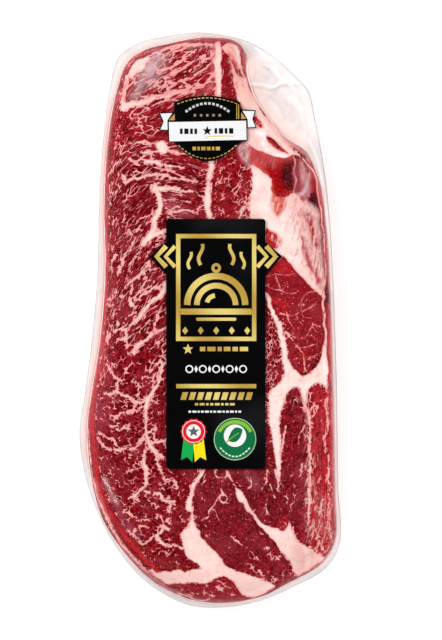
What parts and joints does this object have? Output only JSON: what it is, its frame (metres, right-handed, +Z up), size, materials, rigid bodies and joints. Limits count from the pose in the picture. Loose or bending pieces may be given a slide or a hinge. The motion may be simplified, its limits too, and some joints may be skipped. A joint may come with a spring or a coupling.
{
  "type": "vacuum-packed beef short ribs",
  "caption": "Flat slab of marbled raw beef short rib with a cut bone end, sealed tight in clear glossy film with an empty film corner, a tall black label and a badge label with a ribbon.",
  "frame": {"origin": "on the table, under the middle of the pack's bounding box", "axes": "+Y along the pack towards the end with the empty film corner, +Z up out of the cut face, +X across"},
  "size_m": [0.1314, 0.2888, 0.0363],
  "materials": {
    "packed_beef": "raw marbled beef under tight clear glossy film",
    "tall_label_print": "satin black film label with gold print",
    "badge_label_print": "satin black badge label with a white ribbon"
  },
  "bodies": {
    "root": {"vacuum_pack": "packed_beef", "tall_label": "tall_label_print", "badge_label": "badge_label_print"}
  },
  "joints": []
}
